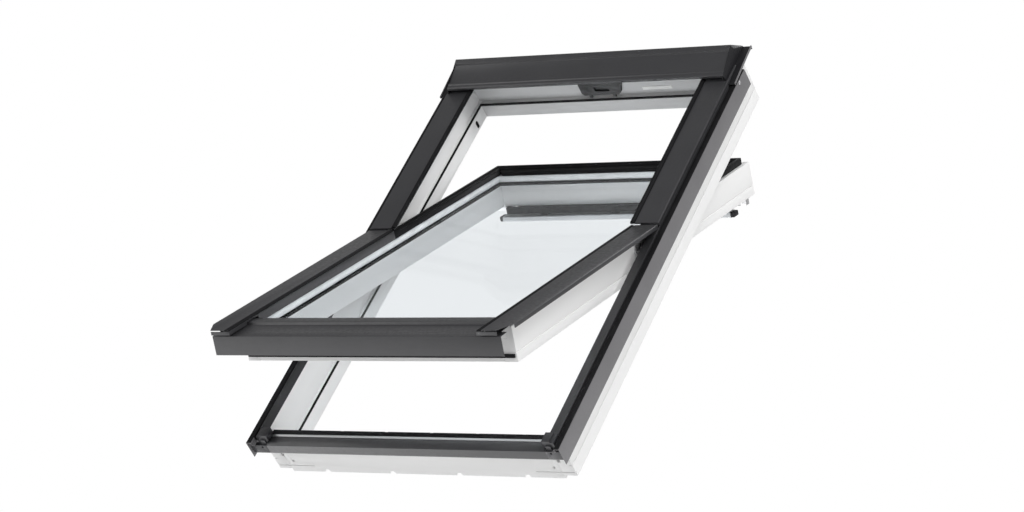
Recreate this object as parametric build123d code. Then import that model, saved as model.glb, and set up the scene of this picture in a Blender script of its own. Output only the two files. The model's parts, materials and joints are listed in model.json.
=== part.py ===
from build123d import *
import math
import os

# Driving dimensions in millimetres. The window is drawn flat: X across, Y up the roof slope
# from the frame's lower end, Z out of the roof with 0 at the top of the side cladding.
# The finished pieces are then tilted to the roof pitch.
FRAME_WIDTH = 780.0
FRAME_LENGTH = 1180.0
FRAME_DEPTH = 118.0
END_FRONT = 11.0
ROOF_PITCH = 46.0
SASH_OPEN = 25.6
SASH_OPEN_MOST = 55.0

# Wooden frame
STILE_WALL = 25.0
STILE_STEP = 8.0
STEP_DEPTH = 77.0
GASKET = 1.6
GASKET_HEIGHT = 6.5
TOP_WALL = 14.0
TOP_STEP = 12.0
BOTTOM_WALL = 10.0
BOTTOM_STEP = 8.0
BOTTOM_TONGUE = 26.0
FRAME_TOP = -1.5
SIDE_GROOVE_DEPTH = 86.0
GROOVE_WIDTH = 1.6
GROOVE_CUT = 8.0
END_SLOT_DEPTH = 108.0
END_SLOT_WIDTH = 2.0
FOOT_LIP = 9.0
FOOT_LIP_INSET = 33.0
SLOT_DEPTH = 58.0
SLOT_LENGTH = 85.0
SLOT_END = 20.0
NOTCH_PITCH = 175.0
NOTCH_COUNT = 4
NOTCH_WIDTH = 16.0
NOTCH_CUT = 8.0
FOOT_HOLE_SPAN = 682.0
FOOT_HOLE_R = 3.5
FOOT_HOLE_DEEP = 10.0
FOOT_HOLE_BACK = 93.0

# Outer metal of the frame
SHEET = 1.2
CLADDING_STAND_OFF = 17.0
CLADDING_HEIGHT = 45.5
CLADDING_FLANGE = 13.0
CLADDING_CHANNEL = 6.7
GUTTER_OUT = 1.5
CHANNEL_DEEP = 8.0
CLADDING_OVERHANG = 44.0
COVER_EDGE_IN = 1.5
COVER_WIDTH = 73.5
COVER_TOP = 12.5
COVER_STEP = 1.0
COVER_BEAD = 13.0
COVER_BEAD_TOP = 17.5
COVER_FOOT = 2.5
COVER_GAP = 9.0
HOOD_LIP_BACK = 85.0
HOOD_LIP_HEIGHT = 29.5
HOOD_RIDGE_BACK = 5.0
HOOD_RIDGE_HEIGHT = 52.0
HOOD_REAR = 33.0
HOOD_SKIRT = 26.0
CASING_EDGE = 1.5
SILL_FRONT = 36.0
SILL_TOP = -13.5
SILL_FACE = 26.5
SILL_CHAMFER = 2.5
SILL_LEDGE = 26.0
SILL_STRIP = 6.0
SILL_GASKET = 13.0
CORNER_TOP = 6.0
CORNER_IN = 6.5

# Sash
SASH_HALF_GAP = 8.0
SASH_DEPTH = 90.0
SASH_FOOT_GAP = 14.0
SASH_HEAD_GAP = 5.0
SASH_STILE = 33.0
SASH_TOP_RAIL = 57.0
SASH_BOTTOM_RAIL = 42.0
REBATE = 17.0
GLASS_TOP = -10.0
PANE = 4.0
CAVITY = 15.0
SEAL = 5.0
GLASS_EDGE_GAP = 2.0
PROFILE_INSET = 10.0
PROFILE_TOP = 6.0
PROFILE_HEAD = 19.0
SASH_SKIRT_HEIGHT = 44.0
SASH_SKIRT_OVERHANG = 19.0
SASH_COVER_OVERHANG = 7.0
SASH_COVER_WIDTH = 71.0
SASH_COVER_STEP = 3.2
SASH_BEAD_TOP = 13.2
SASH_SEAL_DEEP = 80.0
SASH_SEAL_HEIGHT = 8.0
CLIP_PITCH = 240.0
CLIP_HALF = 15.0
CLIP_PLATE = 2.0
CLIP_DROP = 36.0
FILTER_SIDE = 20.0
FILTER_FRONT = 24.0
FILTER_BACK = 10.0
FILTER_HEIGHT = 30.0
SPACER_IN = 2.0
SPACER_WIDTH = 5.0
SEAL_BACK = 13.5
PROFILE_LAP = 2.0

# Pivot hinge and running clearances
PIVOT_PAST_MIDDLE = 27.0
PIVOT_HEIGHT = 3.0
PIN_R = 4.0
PIN_PLAY = 0.05
HINGE_PLATE = 3.0
HINGE_HALF = 55.0
HINGE_EAR_R = 7.5
HINGE_NECK = 20.0
HINGE_FOOT_TOP = 14.0
HINGE_FOOT_DEEP = 58.0
HINGE_SCREW_DEEP = 36.0
HINGE_SCREW_OUT = 43.0
HINGE_SCREW_NEAR = 22.0
RUN = 0.3

# Ventilation flap with its control bar
FLAP_AXIS_BACK = -5.0
FLAP_AXIS_DEEP = 101.0
FLAP_SIDE_GAP = 16.0
BAR_END_GAP = 0.0
BAR_CAP = 9.0
BAR_ARM_PITCH = 200.0
BAR_ARM_HALF = 9.0
BAR_HEIGHT = 14.0
BAR_DROP = 10.0
BAR_DEEP = 26.0
FLAP_TURN = 25.0

# Barrel bolts
BOLT_R = 3.0
BOLT_BACK = 71.0
BOLT_DEEP = 98.0
BOLT_TRAVEL = 13.0
BOLT_GRIP = 6.0
BOLT_TAIL = 19.0
BOLT_GUIDE_HALF = 8.0
BOLT_GUIDE_DROP = 5.5
BUSH_WIDTH = 10.0
BUSH_LENGTH = 20.0
BUSH_CENTRE = 103.0
BUSH_WALL = 1.4
BUSH_CUP = 20.0

SCREW_R = 3.5

# Worked out from the driving dimensions
HALF = FRAME_WIDTH / 2
PIVOT_UP = FRAME_LENGTH / 2 + PIVOT_PAST_MIDDLE
BOLT_UP = FRAME_LENGTH - BOLT_BACK
OPENING = HALF - STILE_WALL
OPENING_BACK = OPENING - STILE_STEP
HEAD_FACE = FRAME_LENGTH - TOP_WALL
HEAD_STEP_FACE = HEAD_FACE - TOP_STEP
SILL_FACE_Y = BOTTOM_WALL
SILL_STEP_FACE = BOTTOM_WALL + BOTTOM_STEP
CLADDING_HALF = HALF + CLADDING_STAND_OFF
COVER_OUT = HALF - COVER_EDGE_IN
COVER_IN = COVER_OUT - COVER_WIDTH
SASH_COVER_IN = COVER_OUT - SASH_COVER_WIDTH
TONGUE_BOTTOM = SILL_TOP - SILL_FACE + 4.0
SASH_HALF = OPENING_BACK - SASH_HALF_GAP
SASH_FOOT = SILL_FACE_Y + SASH_FOOT_GAP
SASH_HEAD = HEAD_STEP_FACE - SASH_HEAD_GAP
SIGHT_HALF = SASH_HALF - SASH_STILE
SIGHT_HEAD = SASH_HEAD - SASH_TOP_RAIL
SIGHT_FOOT = SASH_FOOT + SASH_BOTTOM_RAIL
WALL_HALF = SASH_HALF - REBATE
WALL_HEAD = SIGHT_HEAD + 18.0
WALL_FOOT = SASH_FOOT + 22.0
GLASS_HALF = WALL_HALF - GLASS_EDGE_GAP
GLASS_HEAD = WALL_HEAD - GLASS_EDGE_GAP
GLASS_FOOT = WALL_FOOT + GLASS_EDGE_GAP
GLASS_BOTTOM = GLASS_TOP - 2 * PANE - CAVITY
SHELF = GLASS_BOTTOM - SEAL
COVER_SPLIT_UP = PIVOT_UP + COVER_GAP
COVER_SPLIT_LOW = PIVOT_UP - 2.0
SKIRT_FRONT = -(SILL_FRONT + SASH_SKIRT_OVERHANG)
SKIRT_TOP = -4.0
PIVOT = (0.0, PIVOT_UP, PIVOT_HEIGHT)
FLAP_AXIS = (0.0, SIGHT_HEAD + FLAP_AXIS_BACK, -FLAP_AXIS_DEEP)
FLAP_HALF = SIGHT_HALF - FLAP_SIDE_GAP
BAR_HALF = SIGHT_HALF - BAR_END_GAP


def ribbon(points, thickness):
    """Closed outline of a bent sheet: the points are its outer face, the sheet lies to the left."""
    count = len(points)
    inner = []
    for i in range(count):
        normals = []
        for a, b in ((i - 1, i), (i, i + 1)):
            if a >= 0 and b < count:
                dx = points[b][0] - points[a][0]
                dy = points[b][1] - points[a][1]
                length = math.hypot(dx, dy)
                normals.append((-dy / length, dx / length))
        nx = sum(n[0] for n in normals)
        ny = sum(n[1] for n in normals)
        scale = len(normals) * thickness / (nx * nx + ny * ny)
        if len(normals) == 2:
            scale = 2 * thickness / (nx * nx + ny * ny)
        inner.append((points[i][0] + nx * scale, points[i][1] + ny * scale))
    return list(points) + inner[::-1]


def along_x(section, x0, x1):
    """Prism whose section is given as (y, z) points."""
    wire = Wire.make_polygon([(x0, y, z) for y, z in section], close=True)
    return Solid.extrude(Face(wire), Vector(x1 - x0, 0, 0))


def along_y(section, y0, y1, side=1):
    """Prism whose section is given as (x, z) points, mirrored to the left for side -1."""
    wire = Wire.make_polygon([(side * x, y0, z) for x, z in section], close=True)
    return Solid.extrude(Face(wire), Vector(0, y1 - y0, 0))


def along_z(section, z0, z1, side=1):
    """Prism whose section is given as (x, y) points."""
    wire = Wire.make_polygon([(side * x, y, z0) for x, y in section], close=True)
    return Solid.extrude(Face(wire), Vector(0, 0, z1 - z0))


def block(x0, x1, y0, y1, z0, z1, side=1):
    """Box between two corners, mirrored to the left for side -1."""
    low, high = sorted((side * x0, side * x1))
    return Pos((low + high) / 2, (y0 + y1) / 2, (z0 + z1) / 2) * Box(high - low, y1 - y0, z1 - z0)


def rod_x(x0, x1, y, z, radius, side=1):
    """Round bar along X."""
    low, high = sorted((side * x0, side * x1))
    return Pos((low + high) / 2, y, z) * Rot(0, 90, 0) * Cylinder(radius, high - low)


def rod_y(x, y0, y1, z, radius):
    return Pos(x, (y0 + y1) / 2, z) * Rot(90, 0, 0) * Cylinder(radius, y1 - y0)


def rod_z(x, y, z0, z1, radius):
    return Pos(x, y, (z0 + z1) / 2) * Cylinder(radius, z1 - z0)


def screw_head(x, y, z, out, radius=SCREW_R, height=1.2):
    """Domed screw head with a cross recess, sitting on a face whose outward normal is out."""
    dome = Cylinder(radius, height, align=(Align.CENTER, Align.CENTER, Align.MIN))
    dome = chamfer(dome.edges().group_by(Axis.Z)[-1], height * 0.5)
    recess = Pos(0, 0, height) * (Box(radius * 1.1, radius * 0.28, height) + Box(radius * 0.28, radius * 1.1, height))
    head = dome - recess
    return Plane(origin=(x, y, z), z_dir=out).location * head


# The wooden frame

def oval_x(x0, x1, y, z, width, length, side):
    """Flat bar along X with an oval section that is longer along Z."""
    radius = width / 2
    reach = length / 2 - radius
    bar = block(x0, x1, y - radius, y + radius, z - reach, z + reach, side)
    return bar + rod_x(x0, x1, y, z - reach, radius, side) + rod_x(x0, x1, y, z + reach, radius, side)


def gasket_ring():
    """Space of the rubber strip, let into the lower inner faces of the frame just behind the ledge."""
    low, high = -STEP_DEPTH - GASKET_HEIGHT, -STEP_DEPTH + 0.4
    ring = block(-OPENING_BACK - GASKET, OPENING_BACK + GASKET, SILL_STEP_FACE - GASKET,
                 HEAD_STEP_FACE + GASKET, low, high)
    return ring - block(-OPENING_BACK, OPENING_BACK, SILL_STEP_FACE, HEAD_STEP_FACE, low - 1, high + 1)


def end_slots():
    """Saw-cut lines across the lower end of the stiles and the bottom rail."""
    z = -END_SLOT_DEPTH
    low, high = z - END_SLOT_WIDTH / 2, z + END_SLOT_WIDTH / 2
    return [block(HALF - 100.0, HALF + 1, -END_FRONT - 1, GROOVE_CUT / 2 - END_FRONT, low, high, side)
            for side in (-1, 1)]


def frame_stile(side):
    notch = CLADDING_HALF - CLADDING_FLANGE - CLADDING_CHANNEL
    section = [(OPENING_BACK, -FRAME_DEPTH), (HALF, -FRAME_DEPTH), (HALF, -CHANNEL_DEEP - SHEET),
               (notch, -CHANNEL_DEEP - SHEET), (notch, FRAME_TOP), (OPENING, FRAME_TOP),
               (OPENING, -STEP_DEPTH), (OPENING_BACK, -STEP_DEPTH)]
    stile = along_y(section, -END_FRONT, FRAME_LENGTH, side)
    stile -= block(OPENING_BACK - 1, HALF + 1, -END_FRONT - 1, 0, TONGUE_BOTTOM, FRAME_TOP + 1, side)
    groove = block(HALF - GROOVE_CUT, HALF + 1, -END_FRONT - 1, FRAME_LENGTH + 1, -SIDE_GROOVE_DEPTH - GROOVE_WIDTH / 2,
                   -SIDE_GROOVE_DEPTH + GROOVE_WIDTH / 2, side)
    stile -= groove
    for start in (SLOT_END, FRAME_LENGTH - SLOT_END - SLOT_LENGTH):
        stile -= block(HALF - GROOVE_CUT, HALF + 1, start, start + SLOT_LENGTH, -SLOT_DEPTH - GROOVE_WIDTH / 2,
                       -SLOT_DEPTH + GROOVE_WIDTH / 2, side)
    stile -= oval_x(OPENING_BACK - 1, OPENING_BACK + BUSH_CUP, BOLT_UP, -BUSH_CENTRE, BUSH_WIDTH, BUSH_LENGTH,
                    side)
    for slot in end_slots():
        stile -= slot
    return biggest(stile - gasket_ring())


def frame_top_rail():
    section = [(HEAD_STEP_FACE, -FRAME_DEPTH), (HEAD_STEP_FACE, -STEP_DEPTH), (HEAD_FACE, -STEP_DEPTH),
               (HEAD_FACE, FRAME_TOP), (FRAME_LENGTH, FRAME_TOP), (FRAME_LENGTH, -FRAME_DEPTH)]
    upper = along_x(section, -OPENING_BACK, OPENING_BACK)
    beside = block(OPENING_BACK, OPENING, HEAD_FACE, FRAME_LENGTH, -STEP_DEPTH, FRAME_TOP)
    return upper + beside + mirror(beside, about=Plane.YZ) - gasket_ring()


def frame_bottom_rail():
    section = [(-END_FRONT, -FRAME_DEPTH), (-END_FRONT, TONGUE_BOTTOM), (-BOTTOM_TONGUE, TONGUE_BOTTOM),
               (-BOTTOM_TONGUE, SILL_TOP - SHEET), (SILL_FACE_Y, SILL_TOP - SHEET), (SILL_FACE_Y, -STEP_DEPTH),
               (SILL_STEP_FACE, -STEP_DEPTH), (SILL_STEP_FACE, -FRAME_DEPTH)]
    rail = along_x(section, -OPENING_BACK, OPENING_BACK)
    beside = block(OPENING_BACK, OPENING, -BOTTOM_TONGUE, SILL_FACE_Y, TONGUE_BOTTOM, SILL_TOP - SHEET)
    beside += block(OPENING_BACK, OPENING, 0, SILL_FACE_Y, -STEP_DEPTH, SILL_TOP - SHEET)
    rail += beside + mirror(beside, about=Plane.YZ)
    lip_half = HALF - FOOT_LIP_INSET
    foot = -FRAME_DEPTH - FOOT_LIP
    rail += block(-lip_half, lip_half, -END_FRONT, SILL_STEP_FACE, foot, -FRAME_DEPTH)
    for i in range(NOTCH_COUNT):
        x = (i - (NOTCH_COUNT - 1) / 2) * NOTCH_PITCH
        outline = [(x - NOTCH_WIDTH / 2, foot - 1), (x + NOTCH_WIDTH / 2, foot - 1),
                   (x + NOTCH_WIDTH / 2, foot), (x + NOTCH_WIDTH / 4, foot + NOTCH_CUT),
                   (x - NOTCH_WIDTH / 4, foot + NOTCH_CUT), (x - NOTCH_WIDTH / 2, foot)]
        rail -= along_y(outline, -END_FRONT - 1, SILL_STEP_FACE + 1)
    for x in (-FOOT_HOLE_SPAN / 2, FOOT_HOLE_SPAN / 2):
        rail -= rod_y(x, -END_FRONT - 1, FOOT_HOLE_DEEP - END_FRONT, -FOOT_HOLE_BACK, FOOT_HOLE_R)
    for slot in end_slots():
        rail -= slot
    return biggest(rail - gasket_ring())


def frame_gasket():
    """Rubber strip round the inside of the frame, behind the ledge."""
    return gasket_ring()


# Metal on the frame

def side_cladding(side):
    """Outer sheet of a stile: a tall outer face, a narrow top and a channel beside the covers."""
    path = [(CLADDING_HALF, -CLADDING_HEIGHT), (CLADDING_HALF, 0), (CLADDING_HALF - CLADDING_FLANGE, 0),
            (CLADDING_HALF - CLADDING_FLANGE, -CHANNEL_DEEP),
            (CLADDING_HALF - CLADDING_FLANGE - CLADDING_CHANNEL, -CHANNEL_DEEP)]
    section = ribbon(path[:3], SHEET)
    top = along_y(section, -CLADDING_OVERHANG, FRAME_LENGTH - 33.0, side)
    x = CLADDING_HALF - CLADDING_FLANGE
    leg = block(x, x + SHEET, -CLADDING_OVERHANG, FRAME_LENGTH - 33.0, -CHANNEL_DEEP - SHEET, 0, side)
    floor = block(path[4][0], x + SHEET, -CLADDING_OVERHANG, FRAME_LENGTH - 33.0, -CHANNEL_DEEP - SHEET,
                  -CHANNEL_DEEP, side)
    return top + leg + floor


def side_gutter(side):
    """Dark strip on top of a stile; its leg goes down into the channel and stands up a little."""
    out = HALF - GUTTER_OUT
    notch = CLADDING_HALF - CLADDING_FLANGE - CLADDING_CHANNEL
    path = [(OPENING, FRAME_TOP), (notch, FRAME_TOP), (notch, -CHANNEL_DEEP), (out, -CHANNEL_DEEP),
            (out, 2.0), (out - 2.5, 2.0), (out - 2.5, 0), (OPENING, 0)]
    return along_y(path, 0, FRAME_LENGTH, side)


def channel_seals():
    """Black rubber along the channel between gutter and cladding, lapping over the cladding's top."""
    parts = []
    x0 = HALF - GUTTER_OUT + 0.1
    x1 = CLADDING_HALF - CLADDING_FLANGE
    end = FRAME_LENGTH - 33.0
    section = [(x0, -CHANNEL_DEEP), (x1 - 0.1, -CHANNEL_DEEP), (x1 - 0.1, 0), (CLADDING_HALF - 1.5, 0),
               (CLADDING_HALF - 1.5, 0.8), (x1 - 1.5, 0.8), (x1 - 1.5, -CHANNEL_DEEP + 3.0),
               (x0, -CHANNEL_DEEP + 3.0)]
    for side in (-1, 1):
        seal = along_y(section, -BOTTOM_TONGUE, end, side)
        seal += block(x1, CLADDING_HALF - 1.5, -CLADDING_OVERHANG + 1.0, -BOTTOM_TONGUE, 0, 0.8, side)
        parts.append(biggest(seal))
    return Compound(parts)


def cover_outline(inner, inner_foot, outer_foot, middle_x, middle_foot, step):
    """Section of a side cover: outer leg, flat top, a step down for the bead and an inner leg."""
    crease = inner + COVER_BEAD
    low = COVER_TOP - step
    under = COVER_TOP - SHEET
    return [(COVER_OUT, outer_foot), (COVER_OUT, COVER_TOP - 1.5), (COVER_OUT - 1.5, COVER_TOP),
            (crease, COVER_TOP), (crease, low), (inner, low), (inner, inner_foot), (inner + SHEET, inner_foot),
            (inner + SHEET, low - SHEET), (crease + SHEET, low - SHEET), (crease + SHEET, under),
            (middle_x, under), (middle_x, middle_foot), (middle_x + SHEET, middle_foot),
            (middle_x + SHEET, under), (COVER_OUT - SHEET, under), (COVER_OUT - SHEET, outer_foot)]


def cover_bead(inner, y0, y1, low, top, side):
    """Black rubber bead that lies in the step of a side cover, round on top."""
    reach = COVER_BEAD / 2 - 0.5
    middle = inner + COVER_BEAD / 2 - 0.2
    section = []
    for i in range(9):
        angle = math.radians(180.0 * i / 8)
        section.append((middle + reach * math.cos(angle), low + (top - low) * math.sin(angle)))
    return along_y(section, y0, y1, side)


def upper_cover(side):
    foot = COVER_TOP - COVER_STEP - SHEET - 0.3
    section = cover_outline(COVER_IN, foot, COVER_FOOT, OPENING + 10.0, 0.0, COVER_STEP)
    cover = along_y(section, COVER_SPLIT_UP, FRAME_LENGTH - 30.0, side)
    under = COVER_TOP - SHEET
    beside = SASH_HALF - PROFILE_INSET + 2.0
    end = block(beside, COVER_OUT - SHEET, COVER_SPLIT_UP, COVER_SPLIT_UP + SHEET, COVER_FOOT, under, side)
    end += block(COVER_IN + SHEET, beside, COVER_SPLIT_UP, COVER_SPLIT_UP + SHEET, PROFILE_TOP + 2.3,
                 under - COVER_STEP, side)
    return cover + end


def cover_seals():
    """Beads of the two upper covers."""
    end = FRAME_LENGTH - HOOD_LIP_BACK + 6.0
    return Compound([cover_bead(COVER_IN, COVER_SPLIT_UP, end, COVER_TOP - COVER_STEP, COVER_BEAD_TOP, side)
                     for side in (-1, 1)])


def hood_line():
    """Outer line of the top casing from the rear lip over the ridge to the front hem, as (y, z)."""
    rear = FRAME_LENGTH + HOOD_REAR
    ridge = FRAME_LENGTH - HOOD_RIDGE_BACK
    lip = FRAME_LENGTH - HOOD_LIP_BACK
    fall = (HOOD_RIDGE_HEIGHT - HOOD_LIP_HEIGHT) / (ridge - lip)
    band = ridge - 12.0
    band_z = HOOD_RIDGE_HEIGHT - 12.0 * fall
    return [(rear, 5.0), (rear, 17.0), (ridge + 2.0, HOOD_RIDGE_HEIGHT - 1.0), (ridge, HOOD_RIDGE_HEIGHT),
            (band, band_z), (band - 2.0, band_z - 4.5), (lip + 17.0, HOOD_LIP_HEIGHT + 17.0 * fall - 3.0),
            (lip + 12.0, HOOD_LIP_HEIGHT + 2.6), (lip + 9.0, HOOD_LIP_HEIGHT + 0.4),
            (lip + 6.0, HOOD_LIP_HEIGHT + 1.2), (lip + 2.0, HOOD_LIP_HEIGHT), (lip, HOOD_LIP_HEIGHT - 2.0),
            (lip, HOOD_LIP_HEIGHT - 8.0)]


def top_casing():
    half = CLADDING_HALF - HOOD_SKIRT - 2.0
    section = ribbon(hood_line(), SHEET)
    return along_x(section, -half, half)


def casing_end(side):
    """Moulded end of the casing: a steep plug that closes the sheet and a low ledge beside it."""
    inner = CLADDING_HALF - HOOD_SKIRT - 2.0
    outer = CLADDING_HALF - CASING_EDGE
    rear = FRAME_LENGTH + HOOD_REAR
    ridge = FRAME_LENGTH - HOOD_RIDGE_BACK
    lip = FRAME_LENGTH - HOOD_LIP_BACK
    tip = lip - 6.0
    base = 5.0
    high = [(rear, base), (rear, 17.0), (ridge, HOOD_RIDGE_HEIGHT - 0.5), (lip, HOOD_LIP_HEIGHT - 2.0), (lip, base)]
    low = [(rear, base), (rear, 15.0), (ridge, 40.0), (lip, 18.0), (lip, base)]
    wires = [Wire.make_polygon([(side * x, y, z) for y, z in line], close=True)
             for x, line in ((inner, high), (inner + 5.0, low))]
    plug = Solid.make_loft(wires, ruled=True)
    ledge_line = [(rear, 13.0), (ridge, 11.5), (tip, 5.5), (tip, 4.0), (ridge, 10.0), (rear, 11.5)]
    low_x, high_x = sorted((side * inner, side * outer))
    ledge = along_x(ledge_line, low_x, high_x)
    back = block(inner, outer, rear - 1.5, rear, base, 12.5, side)
    end = plug + ledge + back
    over_cover = block(inner - 5, COVER_OUT + 0.4, tip - 10.0, FRAME_LENGTH - 29.0, 0, COVER_TOP + 0.1, side)
    return biggest(end - over_cover)


def casing_edges():
    """Thin bright edges outside the casing's end pieces, one at each side."""
    rear = FRAME_LENGTH + HOOD_REAR
    ridge = FRAME_LENGTH - HOOD_RIDGE_BACK
    tip = FRAME_LENGTH - HOOD_LIP_BACK - 6.0
    line = [(rear, 11.0), (rear, 17.0), (ridge, 15.5), (tip, 9.0), (tip, 3.5), (ridge, 9.5)]
    parts = []
    for side in (-1, 1):
        low_x, high_x = sorted((side * (CLADDING_HALF - CASING_EDGE), side * CLADDING_HALF))
        parts.append(along_x(line, low_x, high_x))
    return Compound(parts)


def casing_rail():
    """Rail on the frame's top end that carries the casing from inside."""
    half = OPENING - 0.5
    ridge_under = HOOD_RIDGE_HEIGHT - 7.0
    upright = FRAME_LENGTH - HOOD_RIDGE_BACK + 2.0
    rear = FRAME_LENGTH + HOOD_REAR - SHEET
    base = block(-half, half, HEAD_FACE, rear, FRAME_TOP, 0) + block(-half, half, rear - 1.5, rear, FRAME_TOP, 12.0)
    wall = block(-half, half, upright, upright + 1.5, FRAME_TOP, ridge_under)
    return base + wall


def bottom_cover():
    """Dark cover over the frame's lower end: front face, then a stepped top."""
    half = OPENING - 2.0
    top = SILL_TOP
    path = [(-SILL_FRONT, top - SILL_FACE), (-SILL_FRONT, top - SILL_CHAMFER), (-SILL_FRONT + 9.0, top),
            (-SILL_FRONT + SILL_LEDGE, top)]
    flip = [(-y, z) for y, z in path]
    section = [(-y, z) for y, z in ribbon(flip, SHEET)]
    return along_x(section, -half, half)


def bottom_gutter():
    """Bright strip between the bottom cover and the gasket."""
    half = OPENING - 2.0
    start = -SILL_FRONT + SILL_LEDGE
    return block(-half, half, start, start + SILL_STRIP, SILL_TOP - SHEET, SILL_TOP + 1.0)


def bottom_gasket():
    """Black strip along the sill with short teeth."""
    half = OPENING - 2.0
    y0 = -SILL_FRONT + SILL_LEDGE + SILL_STRIP
    strip = block(-half, half, y0, y0 + SILL_GASKET, SILL_TOP - SHEET, SILL_TOP + 1.5)
    for i in range(6):
        x = (i - 2.5) * 118.0
        strip -= block(x - 4, x + 4, y0 + SILL_GASKET - 3.0, y0 + SILL_GASKET + 1.0, SILL_TOP, SILL_TOP + 4.0)
    return strip


def corner_piece(side):
    """Moulded corner: its front is flush with the bottom cover and a block stands up inside."""
    x0 = OPENING - 2.0
    x1 = CLADDING_HALF - SHEET - 0.2
    front = -SILL_FRONT
    floor = SILL_TOP - SILL_FACE
    body = block(x0, x1, front, -BOTTOM_TONGUE, floor, SILL_TOP - SILL_CHAMFER, side)
    body += block(CLADDING_HALF - CLADDING_FLANGE + SHEET + 0.2, x1, front, -BOTTOM_TONGUE, SILL_TOP - 2.0,
                  -SHEET - 0.1, side)
    near = OPENING + 0.1
    wing = block(near, CLADDING_HALF - CLADDING_FLANGE - CLADDING_CHANNEL - 0.1, -BOTTOM_TONGUE - 1.0, -0.2,
                 SILL_TOP - 6.5, 2.0, side)
    tall = block(OPENING - CORNER_IN, HALF - 12.0, -BOTTOM_TONGUE - 1.0, -0.2, SILL_TOP + 2.0, CORNER_TOP, side)
    post = block(near, HALF - 12.0, front + 5.0, -BOTTOM_TONGUE + 1.0, SILL_TOP - 4.0, -5.0, side)
    hole = rod_y(side * (HALF - 14.0), front - 1, front + 4.0, SILL_TOP - 8.0, 2.6)
    return biggest(body + wing + tall + post - hole)


def biggest(shape):
    return max(shape.solids(), key=lambda s: s.volume)


def striker_plate():
    """Keeper under the casing: a flat body with a slanted end and two small hooks."""
    top, low = -30.0, -68.0
    body_points = [(-62.0, top), (58.0, top), (48.0, low + 8.0), (40.0, low), (-56.0, low), (-62.0, low + 6.0)]
    body = along_y(body_points, HEAD_FACE - 9.0, HEAD_FACE)
    window = block(-22.0, 18.0, HEAD_FACE - 10.0, HEAD_FACE - 4.0, -56.0, -42.0)
    body -= window
    for x in (-40.0, 26.0):
        hook = block(x - 4.0, x + 4.0, HEAD_FACE - 9.0, HEAD_FACE - 5.0, low - 7.0, low)
        body += hook
    return body


def blank_plate():
    return block(104.0, 184.0, HEAD_FACE - 1.2, HEAD_FACE, -64.0, -54.0)


def bolt_bushes():
    """Oval cups in the stiles that take the barrel bolts."""
    parts = []
    for side in (-1, 1):
        cup = oval_x(OPENING_BACK, OPENING_BACK + BUSH_CUP, BOLT_UP, -BUSH_CENTRE, BUSH_WIDTH, BUSH_LENGTH, side)
        cup -= oval_x(OPENING_BACK - 1, OPENING_BACK + BUSH_CUP - 2.0, BOLT_UP, -BUSH_CENTRE,
                      BUSH_WIDTH - 2 * BUSH_WALL, BUSH_LENGTH - 2 * BUSH_WALL, side)
        parts.append(cup)
    return Compound(parts)


def hinge_plate(x0, x1, side, ear_top):
    """Flat hinge leaf: a long foot on the wood and an ear that reaches the pivot."""
    foot = block(x0, x1, PIVOT_UP - HINGE_HALF, PIVOT_UP + HINGE_HALF, -HINGE_FOOT_DEEP, -HINGE_FOOT_TOP, side)
    neck = block(x0, x1, PIVOT_UP - HINGE_EAR_R, PIVOT_UP + HINGE_EAR_R, -HINGE_NECK, PIVOT_HEIGHT, side)
    ear = rod_x(x0, x1, PIVOT_UP, PIVOT_HEIGHT, HINGE_EAR_R, side)
    return foot + neck + ear


def frame_hinge(side):
    x1 = OPENING
    leaf = hinge_plate(x1 - HINGE_PLATE, x1, side, 0)
    pin = rod_x(SASH_HALF + 0.5, x1 - HINGE_PLATE + 0.5, PIVOT_UP, PIVOT_HEIGHT, PIN_R, side)
    return leaf + pin


def friction_disc(side):
    x0 = SASH_HALF + HINGE_PLATE + RUN
    x1 = OPENING - HINGE_PLATE
    disc = rod_x(x0, x1, PIVOT_UP, PIVOT_HEIGHT, HINGE_EAR_R, side)
    return disc - rod_x(x0 - 1, x1 + 1, PIVOT_UP, PIVOT_HEIGHT, PIN_R, side)


def frame_screws():
    """Screw heads on the frame's hinge leaves and at the top of the side cladding."""
    parts = []
    for side in (-1, 1):
        for y in (PIVOT_UP - HINGE_SCREW_OUT, PIVOT_UP + HINGE_SCREW_OUT):
            parts.append(screw_head(side * (OPENING - HINGE_PLATE), y, -HINGE_SCREW_DEEP, (-side, 0, 0)))
        parts.append(screw_head(side * CLADDING_HALF, FRAME_LENGTH - 73.0, -6.0, (side, 0, 0), 4.5))
    return Compound(parts)


# Sash, drawn closed

def sash_stile(side):
    section = [(SIGHT_HALF, -SASH_DEPTH), (SASH_HALF, -SASH_DEPTH), (SASH_HALF, GLASS_TOP),
               (WALL_HALF, GLASS_TOP), (WALL_HALF, SHELF), (SIGHT_HALF, SHELF)]
    stile = along_y(section, SASH_FOOT, SASH_HEAD, side)
    groove = block(SASH_HALF - 1.5, SASH_HALF + 1, SASH_FOOT - 1, SASH_HEAD + 1, -68.5, -66.5, side)
    return stile - groove


def sash_top_rail():
    section = [(SIGHT_HEAD, -SASH_DEPTH), (SIGHT_HEAD, SHELF), (WALL_HEAD, SHELF), (WALL_HEAD, GLASS_TOP),
               (SASH_HEAD, GLASS_TOP), (SASH_HEAD, -SASH_DEPTH)]
    rail = along_x(section, -WALL_HALF, WALL_HALF)
    rail = rail - sash_stile(1) - sash_stile(-1)
    rail = biggest(rail)
    half = FLAP_HALF - FILTER_SIDE
    pocket = block(-half, half, SIGHT_HEAD + FILTER_FRONT, SASH_HEAD - FILTER_BACK, -SASH_DEPTH - 1,
                   -SASH_DEPTH + FILTER_HEIGHT)
    return rail - pocket


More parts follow.
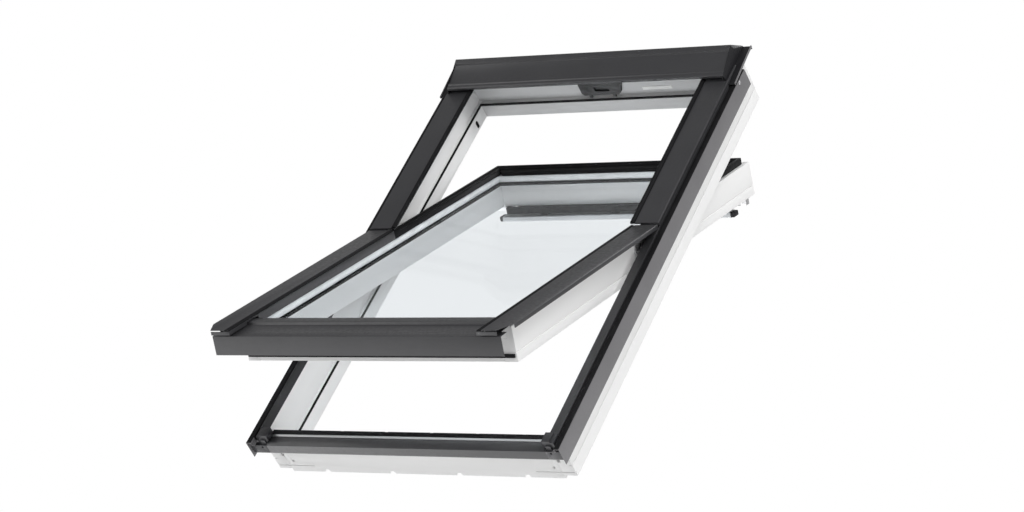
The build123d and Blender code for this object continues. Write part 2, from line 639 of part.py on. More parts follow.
def air_filter():
    half = FLAP_HALF - FILTER_SIDE
    return block(-half, half, SIGHT_HEAD + FILTER_FRONT, SASH_HEAD - FILTER_BACK, -SASH_DEPTH + 1.0,
                 -SASH_DEPTH + FILTER_HEIGHT)


def sash_bottom_rail():
    section = [(SASH_FOOT, -SASH_DEPTH), (SASH_FOOT, GLASS_TOP), (WALL_FOOT, GLASS_TOP), (WALL_FOOT, SHELF),
               (SIGHT_FOOT, SHELF), (SIGHT_FOOT, -SASH_DEPTH)]
    rail = along_x(section, -WALL_HALF, WALL_HALF)
    return biggest(rail - sash_stile(1) - sash_stile(-1))


def pane(z0, z1):
    return block(-GLASS_HALF, GLASS_HALF, GLASS_FOOT, GLASS_HEAD, z0, z1)


def ring(z0, z1, outer, inner):
    """Flat ring inside the glass edge: outer and inner are insets from the glass edge."""
    whole = block(-GLASS_HALF + outer, GLASS_HALF - outer, GLASS_FOOT + outer, GLASS_HEAD - outer, z0, z1)
    return whole - block(-GLASS_HALF + inner, GLASS_HALF - inner, GLASS_FOOT + inner, GLASS_HEAD - inner,
                         z0 - 1, z1 + 1)


def profile_section(out, inner):
    """Section of the black glazing profile from its outer face to its thin inner lip, as (place, z)."""
    way = 1 if inner > out else -1
    top = PROFILE_TOP
    return [(out, GLASS_TOP), (out, top - 1.0), (out + way * 1.0, top), (out + way * 8.0, top),
            (out + way * 8.0, top - 3.0), (out + way * 10.0, top - 3.0), (out + way * 10.0, top - 1.5),
            (out + way * 15.0, top - 4.5), (out + way * 15.0, top - 7.0), (inner - way * 5.0, top - 8.0),
            (inner, GLASS_TOP + 1.5), (inner, GLASS_TOP)]


def profile_side(side):
    """Black glazing profile on a stile, from under the side cover to the top."""
    section = profile_section(SASH_HALF - PROFILE_INSET, SIGHT_HALF + PROFILE_LAP)
    bar = along_y(section, COVER_SPLIT_LOW + 0.2, SASH_HEAD - PROFILE_HEAD, side)
    return biggest(bar - profile_top())


def profile_top():
    """Black glazing profile along the sash's top rail, mitred into the side ones."""
    section = profile_section(SASH_HEAD - PROFILE_HEAD, SIGHT_HEAD + PROFILE_LAP)
    half = SASH_HALF - PROFILE_INSET
    depth = SASH_HEAD - PROFILE_HEAD - (SIGHT_HEAD + PROFILE_LAP)
    bar = along_x(section, -half, half)
    for side in (-1, 1):
        corner = [(half + 1, SASH_HEAD - PROFILE_HEAD + 1), (half + 1, SIGHT_HEAD - 3.0),
                  (half - depth - 2.0, SIGHT_HEAD - 3.0)]
        bar -= along_z(corner, -20, 20, side)
    return bar


def sash_cover(side):
    """Dark side cover of the sash's lower half; its closed lower end runs past the rail and tapers."""
    low_end = SKIRT_FRONT - SASH_COVER_OVERHANG
    turn = WALL_FOOT + 4.0
    leg = SASH_HALF - 9.0
    stretches = [(GLASS_TOP, turn, COVER_SPLIT_LOW), (6.3, 6.0, turn), (0.5, low_end, 6.0)]
    upper, middle, lower = [
        along_y(cover_outline(SASH_COVER_IN, foot, COVER_FOOT, leg, foot, SASH_COVER_STEP), y0, y1, side)
        for foot, y0, y1 in stretches]
    end = block(SASH_COVER_IN + SHEET, COVER_OUT - SHEET, low_end, low_end + SHEET, 0.5,
                COVER_TOP - SASH_COVER_STEP - 0.5, side)
    cover = upper + middle + lower + end
    taper = [(COVER_OUT - 22.0, low_end - 1), (COVER_OUT + 5.0, low_end - 1), (COVER_OUT + 5.0, low_end + 44.0),
             (COVER_OUT, low_end + 42.0)]
    cut = along_z(taper, -20, 30, side)
    return biggest(cover - cut)


def sash_cover_seals():
    """Beads of the sash's two side covers."""
    start = SKIRT_FRONT - SASH_COVER_OVERHANG
    return Compound([cover_bead(SASH_COVER_IN, start, COVER_SPLIT_LOW, COVER_TOP - SASH_COVER_STEP,
                                SASH_BEAD_TOP, side) for side in (-1, 1)])


def sash_cover_bottom():
    """Bottom cover of the sash: tall front face, sloping top and a low bead against the glass."""
    half = SASH_HALF + 22.0
    inner = WALL_FOOT - 1.0
    top_line = [(SKIRT_FRONT, SKIRT_TOP - SASH_SKIRT_HEIGHT), (SKIRT_FRONT, SKIRT_TOP),
                (8.0, -1.0), (11.0, 4.5), (30.0, 5.5), (inner + 3.0, 1.0), (inner + 3.0, GLASS_TOP)]
    flip = [(-y, z) for y, z in top_line]
    section = [(-y, z) for y, z in ribbon(flip, SHEET)]
    cover = along_x(section, -half, half)
    for side in (-1, 1):
        cover -= block(OPENING - CORNER_IN - 1.5, half + 1, -BOTTOM_TONGUE - 4.0, inner + 10, -30, 20, side)
    return cover


def sash_bottom_seal():
    """Black strip on the front of the sash's bottom rail."""
    return block(-SASH_HALF + 4.0, SASH_HALF - 4.0, SASH_FOOT - 4.0, SASH_FOOT, -SASH_SEAL_DEEP,
                 -SASH_SEAL_DEEP + SASH_SEAL_HEIGHT)


def sash_cover_clips():
    """Clips on the sash's bottom rail that carry its bottom cover."""
    parts = []
    front = SKIRT_FRONT + SHEET
    top = GLASS_TOP + CLIP_PLATE
    for x in (-CLIP_PITCH, 0.0, CLIP_PITCH):
        clip = block(x - CLIP_HALF, x + CLIP_HALF, front, WALL_FOOT - 6.0, GLASS_TOP, top)
        clip += block(x - CLIP_HALF, x + CLIP_HALF, front, front + CLIP_PLATE, -CLIP_DROP, top)
        parts.append(clip)
    return Compound(parts)


def sash_hinge(side):
    leaf = hinge_plate(SASH_HALF, SASH_HALF + HINGE_PLATE, side, 0)
    hole = rod_x(SASH_HALF - 1, SASH_HALF + HINGE_PLATE + 1, PIVOT_UP, PIVOT_HEIGHT, PIN_R + PIN_PLAY, side)
    return leaf - hole


def hinge_screws():
    parts = []
    for side in (-1, 1):
        for along in (-HINGE_SCREW_OUT, -HINGE_SCREW_NEAR, HINGE_SCREW_NEAR, HINGE_SCREW_OUT):
            parts.append(screw_head(side * (SASH_HALF + HINGE_PLATE), PIVOT_UP + along, -HINGE_SCREW_DEEP,
                                    (side, 0, 0)))
    return Compound(parts)


def lock_case():
    """Lock body in the middle of the sash's top end."""
    return block(-45.0, 45.0, SASH_HEAD, SASH_HEAD + 2.0, -60.0, -24.0)


def flap_bracket(side):
    """Bracket under the sash's top rail with the pin on which the flap turns."""
    x = FLAP_HALF + 1.0
    y, z = FLAP_AXIS[1], FLAP_AXIS[2]
    ear = block(x, x + 4.0, y - 7.0, BOLT_UP - BOLT_GUIDE_HALF + 1.0, z - 6.0, -SASH_DEPTH, side)
    pin = rod_x(x - 9.0, x + 1.0, y, z, 3.0, side)
    return ear + pin


def vent_flap():
    """Black ventilation flap: a round hub, a deep front edge and a plate over the filter."""
    y, z = FLAP_AXIS[1], FLAP_AXIS[2]
    half = FLAP_HALF
    hub = rod_x(-half, half, y, z, 6.0)
    plate = block(-half + 12.0, half - 12.0, y, SASH_HEAD - 10.0, z + 2.0, z + 5.0)
    edge = block(-half, half, y - 9.0, y - 3.0, z - 5.0, -SASH_DEPTH + 1.0)
    flap = hub + plate + edge
    for side in (-1, 1):
        flap -= rod_x(half - 9.0, half + 1.0, y, z, 3.0 + PIN_PLAY, side)
    for x in (-BAR_ARM_PITCH, 0.0, BAR_ARM_PITCH):
        flap += block(x - BAR_ARM_HALF, x + BAR_ARM_HALF, y - 6.0, y + 3.0, z - BAR_DROP, z - 4.0)
    return flap


def control_bar():
    """Pull bar along the flap with rounded ends."""
    z1 = FLAP_AXIS[2] - BAR_DROP
    y0 = FLAP_AXIS[1] - BAR_DEEP / 2
    bar = block(-BAR_HALF, BAR_HALF, y0, y0 + BAR_DEEP, z1 - BAR_HEIGHT, z1)
    bar = fillet(bar.edges().filter_by(Axis.X), 3.0)
    return bar


def bar_end_caps():
    """Black caps on the ends of the pull bar."""
    parts = []
    for side in (-1, 1):
        z1 = FLAP_AXIS[2] - BAR_DROP
        y0 = FLAP_AXIS[1] - BAR_DEEP / 2
        cap = block(BAR_HALF, BAR_HALF + BAR_CAP, y0 + 1.0, y0 + BAR_DEEP - 1.0, z1 - BAR_HEIGHT + 1.0,
                    z1 - 1.0, side)
        parts.append(fillet(cap.edges().filter_by(Axis.X), 2.0))
    return Compound(parts)


def bolt_guide(side):
    """Guide block of a barrel bolt on the back of a sash stile."""
    guide = block(SIGHT_HALF + 1.0, SASH_HALF - 1.0, BOLT_UP - BOLT_GUIDE_HALF, BOLT_UP + BOLT_GUIDE_HALF,
                  -BOLT_DEEP - BOLT_GUIDE_DROP, -SASH_DEPTH, side)
    return guide - rod_x(SIGHT_HALF, SASH_HALF, BOLT_UP, -BOLT_DEEP, BOLT_R + PIN_PLAY, side)


def barrel_bolt(side):
    """Sliding pin with a thumb grip."""
    tail = SIGHT_HALF - BOLT_TAIL
    pin = rod_x(tail, SASH_HALF - 1.0, BOLT_UP, -BOLT_DEEP, BOLT_R, side)
    grip = rod_x(tail, tail + BOLT_GRIP, BOLT_UP, -BOLT_DEEP, BOLT_R + 1.5, side)
    return pin + grip


frame_nodes = {
    "frame_left_stile": frame_stile(-1),
    "frame_right_stile": frame_stile(1),
    "frame_top_rail": frame_top_rail(),
    "frame_bottom_rail": frame_bottom_rail(),
    "frame_gasket": frame_gasket(),
    "side_cladding_left": side_cladding(-1),
    "side_cladding_right": side_cladding(1),
    "side_gutter_left": side_gutter(-1),
    "side_gutter_right": side_gutter(1),
    "upper_cover_left": upper_cover(-1),
    "upper_cover_right": upper_cover(1),
    "cover_seals": cover_seals(),
    "channel_seals": channel_seals(),
    "top_casing": top_casing(),
    "casing_end_left": casing_end(-1),
    "casing_end_right": casing_end(1),
    "casing_edges": casing_edges(),
    "casing_rail": casing_rail(),
    "bottom_cover": bottom_cover(),
    "bottom_gutter": bottom_gutter(),
    "bottom_gasket": bottom_gasket(),
    "corner_piece_left": corner_piece(-1),
    "corner_piece_right": corner_piece(1),
    "striker_plate": striker_plate(),
    "blank_plate": blank_plate(),
    "bolt_bushes": bolt_bushes(),
    "frame_hinge_left": frame_hinge(-1),
    "frame_hinge_right": frame_hinge(1),
    "friction_disc_left": friction_disc(-1),
    "friction_disc_right": friction_disc(1),
    "frame_screws": frame_screws(),
}

sash_nodes = {
    "sash_left_stile": sash_stile(-1),
    "sash_right_stile": sash_stile(1),
    "sash_top_rail": sash_top_rail(),
    "sash_bottom_rail": sash_bottom_rail(),
    "outer_pane": pane(GLASS_TOP - PANE, GLASS_TOP),
    "inner_pane": pane(GLASS_BOTTOM, GLASS_BOTTOM + PANE),
    "glass_spacer": ring(GLASS_BOTTOM + PANE, GLASS_TOP - PANE, SPACER_IN, SPACER_IN + SPACER_WIDTH),
    "glass_seal": ring(SHELF, GLASS_BOTTOM, 1.0, SEAL_BACK),
    "glazing_profile_left": profile_side(-1),
    "glazing_profile_right": profile_side(1),
    "glazing_profile_top": profile_top(),
    "sash_cover_left": sash_cover(-1),
    "sash_cover_right": sash_cover(1),
    "sash_cover_seals": sash_cover_seals(),
    "sash_cover_bottom": sash_cover_bottom(),
    "sash_cover_clips": sash_cover_clips(),
    "sash_bottom_seal": sash_bottom_seal(),
    "sash_hinge_left": sash_hinge(-1),
    "sash_hinge_right": sash_hinge(1),
    "hinge_screws": hinge_screws(),
    "air_filter": air_filter(),
    "lock_case": lock_case(),
    "flap_brackets": Compound([flap_bracket(-1), flap_bracket(1)]),
    "vent_flap": vent_flap(),
    "control_bar": control_bar(),
    "bar_end_caps": bar_end_caps(),
    "bolt_guides": Compound([bolt_guide(-1), bolt_guide(1)]),
    "barrel_bolt_left": barrel_bolt(-1),
    "barrel_bolt_right": barrel_bolt(1),
}

# The origin is the middle of the frame's lower end face, and the whole window leans at the roof pitch.
ORIGIN = (0.0, -END_FRONT, -80.0)
to_roof = Rot(ROOF_PITCH, 0, 0) * Pos(-ORIGIN[0], -ORIGIN[1], -ORIGIN[2])
swing = Pos(*PIVOT) * Rot(-SASH_OPEN, 0, 0) * Pos(-PIVOT[0], -PIVOT[1], -PIVOT[2])

os.makedirs("parts", exist_ok=True)
for name, piece in frame_nodes.items():
    export_step(to_roof * piece, f"parts/{name}.step")
for name, piece in sash_nodes.items():
    export_step(to_roof * swing * piece, f"parts/{name}.step")


def roof_point(point, on_sash=False):
    """Where a point of the flat drawing lies in the finished part, in metres."""
    place = to_roof * swing if on_sash else to_roof
    moved = (place * Pos(*point)).position
    return [round(v / 1000, 6) for v in (moved.X, moved.Y, moved.Z)]


print("pivot", roof_point(PIVOT))
print("flap axis", roof_point(FLAP_AXIS, True))
print("hinge range", -SASH_OPEN, SASH_OPEN_MOST - SASH_OPEN)
print("foot holes", [roof_point((x, -END_FRONT, -FOOT_HOLE_BACK)) for x in (-FOOT_HOLE_SPAN / 2, FOOT_HOLE_SPAN / 2)])
print("side faces", roof_point((HALF, FRAME_LENGTH / 2, -110.0)))
print("back face", roof_point((HALF - 20, FRAME_LENGTH / 2, -FRAME_DEPTH)))
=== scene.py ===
import json
import math

import bmesh
import bpy
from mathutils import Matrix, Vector


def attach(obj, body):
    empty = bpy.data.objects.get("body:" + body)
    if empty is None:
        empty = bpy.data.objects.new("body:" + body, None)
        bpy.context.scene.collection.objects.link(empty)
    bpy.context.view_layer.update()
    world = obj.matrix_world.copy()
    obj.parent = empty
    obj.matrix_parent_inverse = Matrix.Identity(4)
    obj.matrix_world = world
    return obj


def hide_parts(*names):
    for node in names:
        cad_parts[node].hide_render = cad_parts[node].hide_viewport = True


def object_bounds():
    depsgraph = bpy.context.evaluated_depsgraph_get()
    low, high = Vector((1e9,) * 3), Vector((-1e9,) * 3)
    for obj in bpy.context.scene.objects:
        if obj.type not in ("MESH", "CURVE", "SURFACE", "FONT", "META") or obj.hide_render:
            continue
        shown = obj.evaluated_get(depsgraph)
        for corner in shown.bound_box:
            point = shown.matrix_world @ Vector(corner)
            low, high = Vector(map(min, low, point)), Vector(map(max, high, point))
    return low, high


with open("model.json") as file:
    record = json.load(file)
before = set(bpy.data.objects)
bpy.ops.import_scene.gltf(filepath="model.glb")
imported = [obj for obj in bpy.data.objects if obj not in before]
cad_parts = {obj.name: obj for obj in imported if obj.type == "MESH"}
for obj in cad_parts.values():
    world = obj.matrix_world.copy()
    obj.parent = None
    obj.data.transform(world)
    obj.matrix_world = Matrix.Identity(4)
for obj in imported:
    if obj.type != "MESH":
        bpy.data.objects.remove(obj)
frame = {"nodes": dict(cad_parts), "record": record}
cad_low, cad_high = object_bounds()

nodes = frame["nodes"]
BODY_OF = {node: body for body, names in frame["record"]["behaviour"]["bodies"].items() for node in names}
SLOT_OF = {part["node"]: part["material_slot"] for part in frame["record"]["subparts"]}

# Tilt of the frame above level, and how far the sash is turned back from it
PITCH = math.radians(46.0)
OPEN_ANGLE = math.radians(25.6)
SASH_PITCH = PITCH - OPEN_ANGLE

# Range in which most of a noise texture's values lie
NOISE_LOW = 0.3
NOISE_HIGH = 0.7


# Materials

class Shader:
    """A Principled material with helpers for procedural detail in object space."""

    def __init__(self, name, color, roughness, metallic=0.0, specular=0.5):
        self.material = bpy.data.materials.new(name)
        self.material.use_nodes = True
        self.tree = self.material.node_tree
        self.bsdf = self.tree.nodes["Principled BSDF"]
        self.bsdf.inputs["Base Color"].default_value = (*color, 1)
        self.bsdf.inputs["Roughness"].default_value = roughness
        self.bsdf.inputs["Metallic"].default_value = metallic
        self.bsdf.inputs["Specular IOR Level"].default_value = specular
        self.coords = self.tree.nodes.new("ShaderNodeTexCoord")
        self.color = color
        self.last_bump = None

    def link(self, output, socket):
        self.tree.links.new(output, socket)

    def stretched(self, tilt, stretch):
        """Object coordinates turned so that Y runs up the slope, then scaled per axis."""
        mapping = self.tree.nodes.new("ShaderNodeMapping")
        mapping.inputs["Rotation"].default_value = (-tilt, 0, 0)
        mapping.inputs["Scale"].default_value = stretch
        self.link(self.coords.outputs["Object"], mapping.inputs["Vector"])
        return mapping.outputs["Vector"]

    def noise(self, scale, detail=3.0, vector=None, distortion=0.0):
        node = self.tree.nodes.new("ShaderNodeTexNoise")
        node.inputs["Scale"].default_value = scale
        node.inputs["Detail"].default_value = detail
        node.inputs["Distortion"].default_value = distortion
        self.link(vector or self.coords.outputs["Object"], node.inputs["Vector"])
        return node.outputs["Fac"]

    def ramp(self, value, low, high):
        """Noise spread over the range from low to high."""
        node = self.tree.nodes.new("ShaderNodeMapRange")
        node.inputs["From Min"].default_value = NOISE_LOW
        node.inputs["From Max"].default_value = NOISE_HIGH
        node.inputs["To Min"].default_value = low
        node.inputs["To Max"].default_value = high
        self.link(value, node.inputs["Value"])
        return node.outputs["Result"]

    def mottle(self, value, dark, light):
        """Base colour between two versions of itself."""
        mix = self.tree.nodes.new("ShaderNodeMix")
        mix.data_type = "RGBA"
        mix.inputs["A"].default_value = (*[c * dark for c in self.color], 1)
        mix.inputs["B"].default_value = (*[min(c * light, 1) for c in self.color], 1)
        self.link(self.ramp(value, 0, 1), mix.inputs["Factor"])
        self.link(mix.outputs["Result"], self.bsdf.inputs["Base Color"])

    def sheen_by(self, value, low, high):
        """Roughness that varies between two values."""
        self.link(self.ramp(value, low, high), self.bsdf.inputs["Roughness"])

    def bump(self, value, strength, depth):
        """Relief on top of any relief added before; the depth is in metres."""
        node = self.tree.nodes.new("ShaderNodeBump")
        node.inputs["Strength"].default_value = strength
        node.inputs["Distance"].default_value = depth
        self.link(value, node.inputs["Height"])
        if self.last_bump:
            self.link(self.last_bump, node.inputs["Normal"])
        self.last_bump = node.outputs["Normal"]
        self.link(self.last_bump, self.bsdf.inputs["Normal"])


def lacquered_wood(name, tilt, color=(0.85, 0.85, 0.848)):
    """White lacquer that shows the wood's long grain only in its gloss and a faint relief."""
    shader = Shader(name, color, 0.42, specular=0.12)
    along_grain = shader.stretched(tilt, (1.0, 0.06, 1.0))
    grain = shader.noise(scale=60.0, detail=6.0, vector=along_grain, distortion=0.4)
    shader.mottle(shader.noise(scale=3.0), dark=0.975, light=1.01)
    shader.sheen_by(grain, low=0.32, high=0.44)
    shader.bump(grain, strength=0.12, depth=0.0004)
    shader.bump(shader.noise(scale=900.0, detail=2.0), strength=0.05, depth=0.0001)
    return shader.material


def powder_coat(name, color, roughness):
    """Fine matt coating on sheet: a grain finer than a millimetre and slight unevenness."""
    shader = Shader(name, color, roughness, specular=0.5)
    shader.mottle(shader.noise(scale=9.0, detail=4.0), dark=0.93, light=1.07)
    shader.sheen_by(shader.noise(scale=140.0), low=roughness - 0.06, high=roughness + 0.06)
    shader.bump(shader.noise(scale=1600.0), strength=0.16, depth=0.0002)
    shader.bump(shader.noise(scale=5.0, detail=1.0), strength=0.05, depth=0.002)
    return shader.material


def rubber(name, color):
    """Matt, slightly blotchy rubber."""
    shader = Shader(name, color, 0.62, specular=0.08)
    shader.mottle(shader.noise(scale=30.0, detail=4.0), dark=0.8, light=1.2)
    shader.sheen_by(shader.noise(scale=220.0), low=0.5, high=0.72)
    shader.bump(shader.noise(scale=700.0), strength=0.2, depth=0.0002)
    return shader.material


def moulded_plastic(name, color, roughness, specular=0.5):
    """Plastic with the fine grain of a mould."""
    shader = Shader(name, color, roughness, specular=specular)
    shader.mottle(shader.noise(scale=25.0), dark=0.92, light=1.08)
    shader.sheen_by(shader.noise(scale=90.0), low=roughness - 0.08, high=roughness + 0.08)
    shader.bump(shader.noise(scale=1100.0, detail=2.0), strength=0.14, depth=0.00015)
    return shader.material


def brushed_metal(name, color, roughness, tilt):
    """Rolled or drawn metal with fine lines across the window."""
    shader = Shader(name, color, roughness, metallic=1.0)
    along_lines = shader.stretched(tilt, (0.03, 1.0, 1.0))
    lines = shader.noise(scale=260.0, detail=4.0, vector=along_lines)
    shader.mottle(shader.noise(scale=14.0), dark=0.92, light=1.04)
    shader.sheen_by(lines, low=roughness - 0.08, high=roughness + 0.1)
    shader.bump(lines, strength=0.1, depth=0.0002)
    return shader.material


def clear_glass(name):
    """Float glass: almost colourless, faintly blue, with very slight waviness."""
    shader = Shader(name, (0.909, 0.925, 0.936), 0.0)
    shader.bsdf.inputs["Transmission Weight"].default_value = 1.0
    shader.bsdf.inputs["IOR"].default_value = 1.035
    shader.bump(shader.noise(scale=2.5, detail=1.0), strength=0.02, depth=0.001)
    return shader.material


looks = {
    "white_lacquer": lacquered_wood("lacquered_wood_frame", PITCH),
    "white_lacquer_sash": lacquered_wood("lacquered_wood_sash", SASH_PITCH),
    # The frame's top rail has the same white lacquer as the stiles; this darker copy is painted shade for
    # the shade under the hood.
    "white_lacquer_painted_shade": lacquered_wood("lacquered_wood_painted_shade", PITCH, (0.62, 0.62, 0.622)),
    "dark_grey_sheet": powder_coat("dark_grey_powder_coat", (0.036, 0.036, 0.039), roughness=0.4),
    # The side cladding carries the same dark grey paint as the covers; this lighter grey is painted light,
    # standing in for the light falling on its side.
    "mid_grey_sheet": powder_coat("side_cladding_painted_light_coat", (0.155, 0.152, 0.158), roughness=0.42),
    "black_rubber": rubber("black_rubber", (0.012, 0.012, 0.013)),
    "clear_glass": clear_glass("float_glass"),
    "bare_aluminium": brushed_metal("bare_aluminium", (0.62, 0.63, 0.64), roughness=0.42, tilt=PITCH),
    "pull_bar": brushed_metal("anodised_pull_bar", (0.4, 0.41, 0.42), roughness=0.45, tilt=SASH_PITCH),
    "vent_flap": moulded_plastic("vent_flap_plastic", (0.008, 0.008, 0.009), roughness=0.7, specular=0.02),
    "corner_plastic": moulded_plastic("corner_plastic", (0.028, 0.028, 0.031), roughness=0.45, specular=0.4),
    "pale_spacer": moulded_plastic("pale_spacer", (0.84, 0.86, 0.87), roughness=0.45),
    "black_plastic": moulded_plastic("black_plastic", (0.014, 0.014, 0.016), roughness=0.5, specular=0.2),
    "pale_plastic": moulded_plastic("pale_plastic", (0.78, 0.78, 0.76), roughness=0.4),
    "black_metal": powder_coat("black_metal", (0.012, 0.012, 0.013), roughness=0.4),
    "zinc_steel": brushed_metal("zinc_steel", (0.66, 0.66, 0.67), roughness=0.28, tilt=PITCH),
}

# Pieces that don't have the look of their slot
SPECIAL_LOOKS = {
    "glass_spacer": "pale_spacer",
    "control_bar": "pull_bar",
    "vent_flap": "vent_flap",
    # The top rail takes the darker copy of the lacquer: painted shade.
    "frame_top_rail": "white_lacquer_painted_shade",
    "corner_piece_left": "corner_plastic",
    "corner_piece_right": "corner_plastic",
}


def look_of(node):
    """The material of a piece, with the wood grain of the sash turned as the sash is."""
    slot = SLOT_OF[node]
    if node in SPECIAL_LOOKS:
        return looks[SPECIAL_LOOKS[node]]
    if slot == "white_lacquer" and BODY_OF[node] == "sash":
        return looks["white_lacquer_sash"]
    return looks[slot]


# Softened copies of the rigid pieces

BEVEL_WIDTH = {
    "white_lacquer": 0.0016,
    "dark_grey_sheet": 0.0005,
    "mid_grey_sheet": 0.0005,
    "black_rubber": 0.0006,
    "bare_aluminium": 0.0004,
    "black_plastic": 0.0009,
    "pale_plastic": 0.0005,
    "black_metal": 0.0006,
    "zinc_steel": 0.0004,
}
BEVEL_SEGMENTS = 2
BEVEL_FROM_ANGLE = math.radians(35)
FLAT_WITHIN_ANGLE = math.radians(0.5)
WELD_DISTANCE = 1e-6
KEPT_AS_SOLIDS = {"outer_pane", "inner_pane", "control_bar", "barrel_bolt_left", "barrel_bolt_right"}


def dressed(node, width):
    """A copy of a solid with its flat faces joined again and its edges rounded, standing in for it."""
    mesh = bmesh.new()
    mesh.from_mesh(nodes[node].data)
    bmesh.ops.remove_doubles(mesh, verts=mesh.verts, dist=WELD_DISTANCE)
    bmesh.ops.dissolve_limit(mesh, angle_limit=FLAT_WITHIN_ANGLE, verts=mesh.verts, edges=mesh.edges)
    for face in mesh.faces:
        face.smooth = True
    data = bpy.data.meshes.new(node + "_soft")
    mesh.to_mesh(data)
    mesh.free()
    piece = bpy.data.objects.new(node + "_soft", data)
    bpy.context.scene.collection.objects.link(piece)
    bevel = piece.modifiers.new("rounded_edges", "BEVEL")
    bevel.width = width
    bevel.segments = BEVEL_SEGMENTS
    bevel.limit_method = "ANGLE"
    bevel.angle_limit = BEVEL_FROM_ANGLE
    bevel.harden_normals = True
    bevel.use_clamp_overlap = True
    data.materials.append(look_of(node))
    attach(piece, BODY_OF[node])
    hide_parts(node)


for node, thing in nodes.items():
    slot = SLOT_OF[node]
    if node in KEPT_AS_SOLIDS or slot not in BEVEL_WIDTH:
        thing.data.materials.clear()
        thing.data.materials.append(look_of(node))
    else:
        dressed(node, BEVEL_WIDTH[slot])


# Floor, daylight and lamps

FLOOR_DROP = 0.6
FLOOR_RADIUS = 4.0
FLOOR_SIDES = 96
# Glow of the floor seen only in reflections: painted reflection.
FLOOR_REFLECTION_GLOW = 1.4
FLOOR_COLOR = (0.9, 0.9, 0.9, 1)
FLOOR_ROUGHNESS = 0.9
FADE_START = FLOOR_RADIUS * 0.35
FADE_END = FLOOR_RADIUS * 0.98

WHITE = (1, 1, 1, 1)
SKY_LOW = -0.2
SKY_HIGH = 0.9
LIGHT_FROM_BELOW = 0.55
LIGHT_FROM_ABOVE = 0.3

middle = (cad_low + cad_high) / 2


def round_floor():
    """A pale disc below the window that fades out at its rim; seen in glossy surfaces it also glows,
    brighter than white, a painted reflection.
    """
    bpy.ops.mesh.primitive_circle_add(vertices=FLOOR_SIDES, radius=FLOOR_RADIUS, fill_type="NGON",
                                      location=(middle.x, middle.y, cad_low.z - FLOOR_DROP))
    floor = bpy.context.object
    floor.name = "floor"
    material = bpy.data.materials.new("floor_paper")
    material.use_nodes = True
    tree = material.node_tree
    bsdf = tree.nodes["Principled BSDF"]
    # Painted reflection: the floor emits light only for glossy rays.
    path = tree.nodes.new("ShaderNodeLightPath")
    reflection_glow = tree.nodes.new("ShaderNodeMath")
    reflection_glow.operation = "MULTIPLY"
    reflection_glow.inputs[1].default_value = FLOOR_REFLECTION_GLOW
    tree.links.new(path.outputs["Is Glossy Ray"], reflection_glow.inputs[0])
    tree.links.new(reflection_glow.outputs["Value"], bsdf.inputs["Emission Strength"])
    bsdf.inputs["Base Color"].default_value = FLOOR_COLOR
    bsdf.inputs["Roughness"].default_value = FLOOR_ROUGHNESS
    coords = tree.nodes.new("ShaderNodeTexCoord")
    length = tree.nodes.new("ShaderNodeVectorMath")
    length.operation = "LENGTH"
    fade = tree.nodes.new("ShaderNodeMapRange")
    fade.inputs["From Min"].default_value = FADE_START
    fade.inputs["From Max"].default_value = FADE_END
    fade.inputs["To Min"].default_value = 1.0
    fade.inputs["To Max"].default_value = 0.0
    tree.links.new(coords.outputs["Object"], length.inputs[0])
    tree.links.new(length.outputs["Value"], fade.inputs["Value"])
    tree.links.new(fade.outputs["Result"], bsdf.inputs["Alpha"])
    floor.data.materials.append(material)


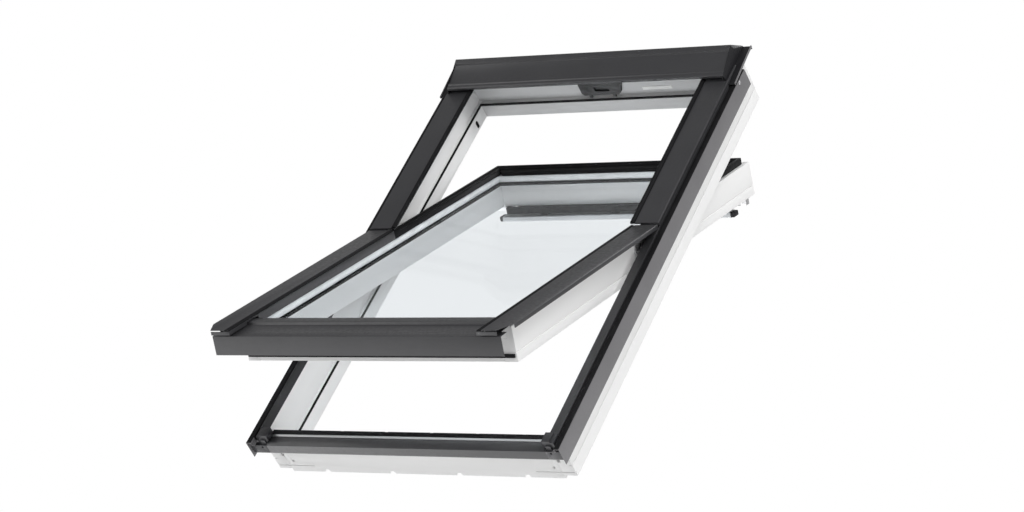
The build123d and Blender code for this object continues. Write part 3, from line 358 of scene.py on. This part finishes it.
def daylight():
    """Grey light, stronger from below than from above; seen directly or through glass it is white."""
    world = bpy.data.worlds.new("studio")
    bpy.context.scene.world = world
    world.use_nodes = True
    tree = world.node_tree
    tree.nodes.clear()
    path = tree.nodes.new("ShaderNodeLightPath")
    either = tree.nodes.new("ShaderNodeMath")
    either.operation = "MAXIMUM"
    level = tree.nodes.new("ShaderNodeMapRange")
    level.inputs["To Max"].default_value = 1.0
    coords = tree.nodes.new("ShaderNodeTexCoord")
    split = tree.nodes.new("ShaderNodeSeparateXYZ")
    height = tree.nodes.new("ShaderNodeMapRange")
    height.inputs["From Min"].default_value = SKY_LOW
    height.inputs["From Max"].default_value = SKY_HIGH
    height.inputs["To Min"].default_value = LIGHT_FROM_BELOW
    height.inputs["To Max"].default_value = LIGHT_FROM_ABOVE
    background = tree.nodes.new("ShaderNodeBackground")
    background.inputs["Color"].default_value = WHITE
    out = tree.nodes.new("ShaderNodeOutputWorld")
    tree.links.new(path.outputs["Is Camera Ray"], either.inputs[0])
    tree.links.new(path.outputs["Is Transmission Ray"], either.inputs[1])
    tree.links.new(either.outputs["Value"], level.inputs["Value"])
    tree.links.new(coords.outputs["Generated"], split.inputs["Vector"])
    tree.links.new(split.outputs["Z"], height.inputs["Value"])
    tree.links.new(height.outputs["Result"], level.inputs["To Min"])
    tree.links.new(level.outputs["Result"], background.inputs["Strength"])
    tree.links.new(background.outputs["Background"], out.inputs["Surface"])


def softbox(name, place, size, watts):
    """Square lamp aimed at the middle of the window."""
    data = bpy.data.lights.new(name, "AREA")
    data.shape = "SQUARE"
    data.size = size
    data.energy = watts
    lamp = bpy.data.objects.new(name, data)
    bpy.context.scene.collection.objects.link(lamp)
    lamp.location = middle + Vector(place)
    lamp.rotation_mode = "QUATERNION"
    lamp.rotation_quaternion = Vector(place).to_track_quat("Z", "Y")


round_floor()
daylight()
softbox("key_softbox", place=(3.2, -2.2, 3.4), size=2.4, watts=120)
softbox("fill_softbox", place=(-3.4, -3.0, 1.6), size=3.0, watts=60)
softbox("back_softbox", place=(0.5, 3.6, 3.0), size=2.4, watts=70)
softbox("side_softbox", place=(4.6, -0.6, 1.0), size=2.4, watts=45)


# Camera of the photograph

CAMERA_AT = (3.9064, -5.84506, 0.26021)
CAMERA_TILT = 91.504
CAMERA_ROLL = -0.062
CAMERA_TURN = 32.090
LENS_MM = 113.3
SENSOR_MM = 36.0
VIEW_END = 200.0

camera_data = bpy.data.cameras.new("camera")
camera_data.lens = LENS_MM
camera_data.sensor_width = SENSOR_MM
camera_data.clip_end = VIEW_END
camera = bpy.data.objects.new("camera", camera_data)
bpy.context.scene.collection.objects.link(camera)
camera.location = CAMERA_AT
camera.rotation_euler = [math.radians(angle) for angle in (CAMERA_TILT, CAMERA_ROLL, CAMERA_TURN)]
bpy.context.scene.camera = camera

bpy.context.scene.view_settings.view_transform = "Standard"
